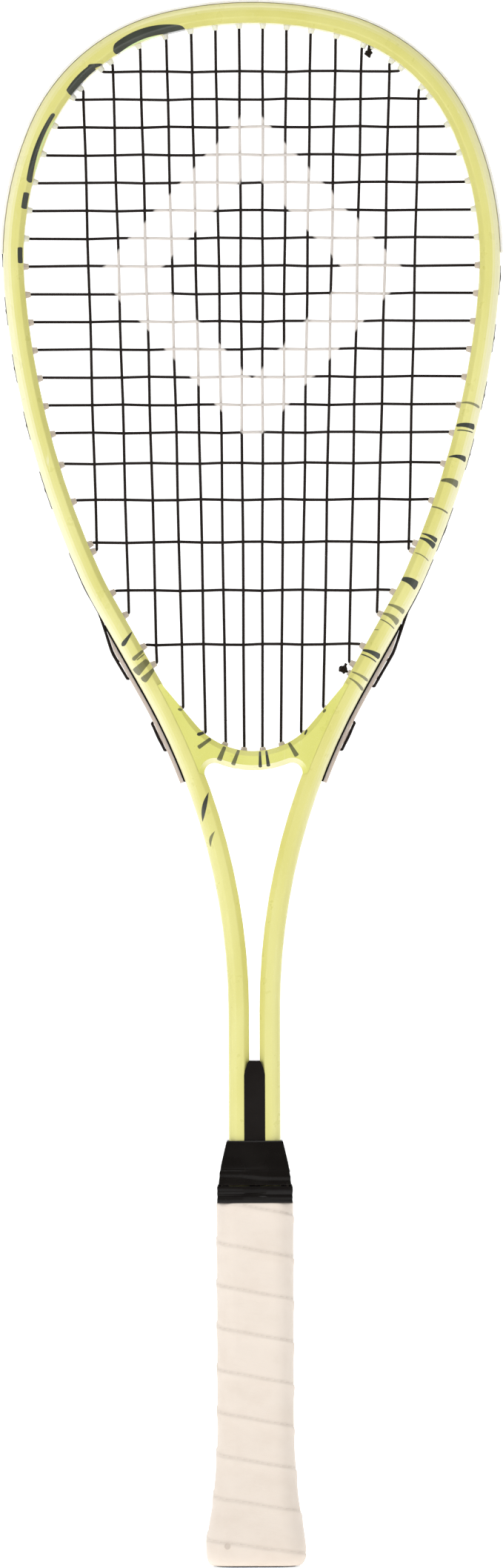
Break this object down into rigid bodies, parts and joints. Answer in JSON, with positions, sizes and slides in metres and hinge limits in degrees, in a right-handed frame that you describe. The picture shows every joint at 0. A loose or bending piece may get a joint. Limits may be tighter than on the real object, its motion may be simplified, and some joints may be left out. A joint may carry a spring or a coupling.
{
  "type": "squash racket",
  "caption": "Teardrop squash racket with a hollow hoop on two legs, moulded throat bridge, one-piece strings, wrapped grip and a sliding rubber collar.",
  "frame": {"origin": "centre of the bounding box of the solids at its lowest face, on the butt of the handle", "axes": "+Z along the racket from the butt to the tip; the string bed lies in the XZ plane; the front, which the picture shows, faces -Y"},
  "size_m": [0.22, 0.0395, 0.685],
  "materials": {
    "lime_lacquer": "satin lacquer over composite with dark painted bars",
    "bright_lacquer": "satin lacquer, brighter than the tube",
    "bone_nylon": "moulded nylon, slightly waxy",
    "black_foam": "matt",
    "dark_gut": "satin multifilament string, cream print across the middle",
    "black_polymer": "fine moulded texture",
    "pallet_foam": "bare moulded foam",
    "grip_tape": "matt synthetic leather, wound in a spiral",
    "tack_steel": "dull",
    "black_tape": "vinyl tape",
    "black_rubber": "matt"
  },
  "bodies": {
    "racket": {"frame_tube": "lime_lacquer", "throat_bridge": "bright_lacquer", "head_bumper": "bone_nylon", "side_strip_left": "bone_nylon", "side_strip_right": "bone_nylon", "bridge_strip": "bone_nylon", "strip_liner_left": "black_foam", "strip_liner_right": "black_foam", "main_string": "dark_gut", "cross_string": "dark_gut", "tie_knot_upper": "dark_gut", "tie_knot_lower": "dark_gut", "throat_wedge": "black_polymer", "pallet_front": "pallet_foam", "pallet_back": "pallet_foam", "butt_cap": "black_polymer", "grip_wrap": "grip_tape", "grip_tack": "tack_steel", "finishing_tape": "black_tape"},
    "collar": {"rubber_collar": "black_rubber"}
  },
  "joints": [
    {"name": "collar_slide", "type": "slide", "parent": "racket", "child": "collar", "axis": [0, 0, 1], "range_m": [0, 0.03]}
  ]
}
